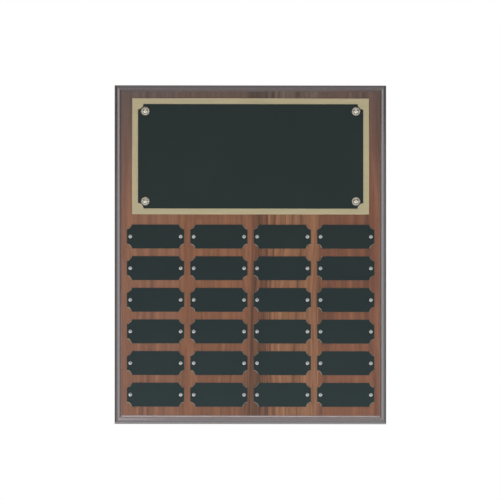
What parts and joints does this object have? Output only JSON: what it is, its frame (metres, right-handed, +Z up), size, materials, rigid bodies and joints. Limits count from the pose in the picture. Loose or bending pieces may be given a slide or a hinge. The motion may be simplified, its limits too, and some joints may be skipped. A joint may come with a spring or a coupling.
{
  "type": "wall plaque",
  "caption": "Rectangular walnut wall plaque with a moulded dark edge, a gold-bordered black header plate with corner rosettes and a grid of small pinned black nameplates.",
  "frame": {"origin": "centre of the flat back face, in the plane of the wall", "axes": "+Z up the plaque, +Y out of the back face into the wall, the front faces -Y, +X to the right as seen from the front"},
  "size_m": [0.3048, 0.0234, 0.381],
  "materials": {
    "walnut": "satin lacquer, edge moulding stained near black and glossy",
    "gold_plate": "satin brushed gold",
    "black_plate": "satin black lacquer on metal, bright cut edges",
    "rosette_metal": "stamped, warm silver",
    "pin_metal": "polished nickel",
    "hanger_steel": "zinc plated steel"
  },
  "bodies": {
    "root": {"board_stave_left": "walnut", "board_stave_centre_left": "walnut", "board_stave_centre_right": "walnut", "board_stave_right": "walnut", "header_backing_plate": "gold_plate", "header_plate": "black_plate", "header_rosette_1": "rosette_metal", "header_rosette_2": "rosette_metal", "header_rosette_3": "rosette_metal", "header_rosette_4": "rosette_metal", "rosette_pins": "pin_metal", "nameplate_r1c1": "black_plate", "nameplate_r1c2": "black_plate", "nameplate_r1c3": "black_plate", "nameplate_r1c4": "black_plate", "nameplate_r2c1": "black_plate", "nameplate_r2c2": "black_plate", "nameplate_r2c3": "black_plate", "nameplate_r2c4": "black_plate", "nameplate_r3c1": "black_plate", "nameplate_r3c2": "black_plate", "nameplate_r3c3": "black_plate", "nameplate_r3c4": "black_plate", "nameplate_r4c1": "black_plate", "nameplate_r4c2": "black_plate", "nameplate_r4c3": "black_plate", "nameplate_r4c4": "black_plate", "nameplate_r5c1": "black_plate", "nameplate_r5c2": "black_plate", "nameplate_r5c3": "black_plate", "nameplate_r5c4": "black_plate", "nameplate_r6c1": "black_plate", "nameplate_r6c2": "black_plate", "nameplate_r6c3": "black_plate", "nameplate_r6c4": "black_plate", "nameplate_pins_row_1": "pin_metal", "nameplate_pins_row_2": "pin_metal", "nameplate_pins_row_3": "pin_metal", "nameplate_pins_row_4": "pin_metal", "nameplate_pins_row_5": "pin_metal", "nameplate_pins_row_6": "pin_metal", "keyhole_hanger": "hanger_steel", "hanger_screws": "hanger_steel"}
  },
  "joints": []
}
